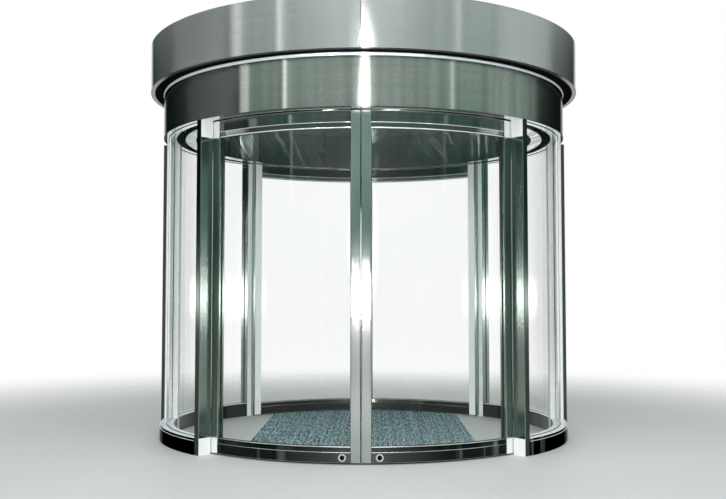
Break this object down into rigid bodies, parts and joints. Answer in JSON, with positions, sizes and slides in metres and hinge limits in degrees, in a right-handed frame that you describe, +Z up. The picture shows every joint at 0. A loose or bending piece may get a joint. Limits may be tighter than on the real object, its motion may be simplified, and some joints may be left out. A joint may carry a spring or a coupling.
{
  "type": "round sliding door",
  "caption": "Round glazed entrance drum with a stepped steel canopy, fixed curved side screens and curved pairs of leaves that slide apart at the front and rear.",
  "frame": {"origin": "on the drum's vertical axis, at floor level", "axes": "+Z up, -Y towards the room and the picture's camera, +Y towards the street, the wall line along X"},
  "size_m": [3.3, 3.3, 2.95],
  "materials": {
    "canopy_steel": "hairline brushed stainless sheet",
    "frame_steel": "hairline brushed stainless, brushed along the piece",
    "polished_steel": "polished stainless",
    "dark_steel": "dark satin painted channel",
    "dark_board": "dark satin painted board",
    "plywood": "sheathing board, matt",
    "ceiling_paint": "pale satin painted lining",
    "clear_glass": "clear toughened glass with a faint green cast and polished edges",
    "track_aluminium": "mill finish extrusion",
    "gear_steel": "zinc plated plate with plain rollers",
    "mat_fibre": "ribbed entrance matting, matt"
  },
  "bodies": {
    "drum": {"upper_canopy_panels": "canopy_steel", "canopy_step_board": "dark_board", "canopy_roof_board": "plywood", "canopy_deck": "plywood", "canopy_bead": "polished_steel", "lower_canopy_fascia": "canopy_steel", "inner_header_fascia": "canopy_steel", "drum_ceiling": "ceiling_paint", "header_soffit": "canopy_steel", "door_tracks": "track_aluminium", "post_front_left": "frame_steel", "post_front_right": "frame_steel", "post_rear_left": "frame_steel", "post_rear_right": "frame_steel", "jamb_post_left": "frame_steel", "jamb_post_right": "frame_steel", "wall_channels": "dark_steel", "base_rail_front_left": "frame_steel", "base_rail_front_right": "frame_steel", "base_rail_rear_left": "frame_steel", "base_rail_rear_right": "frame_steel", "side_glass_left": "clear_glass", "side_glass_right": "clear_glass", "walk_through_mat": "mat_fibre"},
    "front_left_leaf": {"front_left_meeting_stile": "frame_steel", "front_left_trailing_stile": "frame_steel", "front_left_rails": "frame_steel", "front_left_glass": "clear_glass", "front_left_hangers": "gear_steel"},
    "front_right_leaf": {"front_right_meeting_stile": "frame_steel", "front_right_trailing_stile": "frame_steel", "front_right_rails": "frame_steel", "front_right_glass": "clear_glass", "front_right_hangers": "gear_steel"},
    "rear_left_leaf": {"rear_left_meeting_stile": "frame_steel", "rear_left_trailing_stile": "frame_steel", "rear_left_rails": "frame_steel", "rear_left_glass": "clear_glass", "rear_left_hangers": "gear_steel"},
    "rear_right_leaf": {"rear_right_meeting_stile": "frame_steel", "rear_right_trailing_stile": "frame_steel", "rear_right_rails": "frame_steel", "rear_right_glass": "clear_glass", "rear_right_hangers": "gear_steel"}
  },
  "joints": [
    {"name": "front_left_slide", "type": "hinge", "parent": "drum", "child": "front_left_leaf", "pos_m": [0, 0, 0], "axis": [0, 0, -1], "range_deg": [0, 41.5]},
    {"name": "front_right_slide", "type": "hinge", "parent": "drum", "child": "front_right_leaf", "pos_m": [0, 0, 0], "axis": [0, 0, 1], "range_deg": [0, 41.5]},
    {"name": "rear_left_slide", "type": "hinge", "parent": "drum", "child": "rear_left_leaf", "pos_m": [0, 0, 0], "axis": [0, 0, 1], "range_deg": [0, 41.5]},
    {"name": "rear_right_slide", "type": "hinge", "parent": "drum", "child": "rear_right_leaf", "pos_m": [0, 0, 0], "axis": [0, 0, -1], "range_deg": [0, 41.5]}
  ],
  "couplings": [
    {"joint": "front_right_slide", "follows": "front_left_slide", "ratio": 1},
    {"joint": "rear_right_slide", "follows": "rear_left_slide", "ratio": 1}
  ]
}
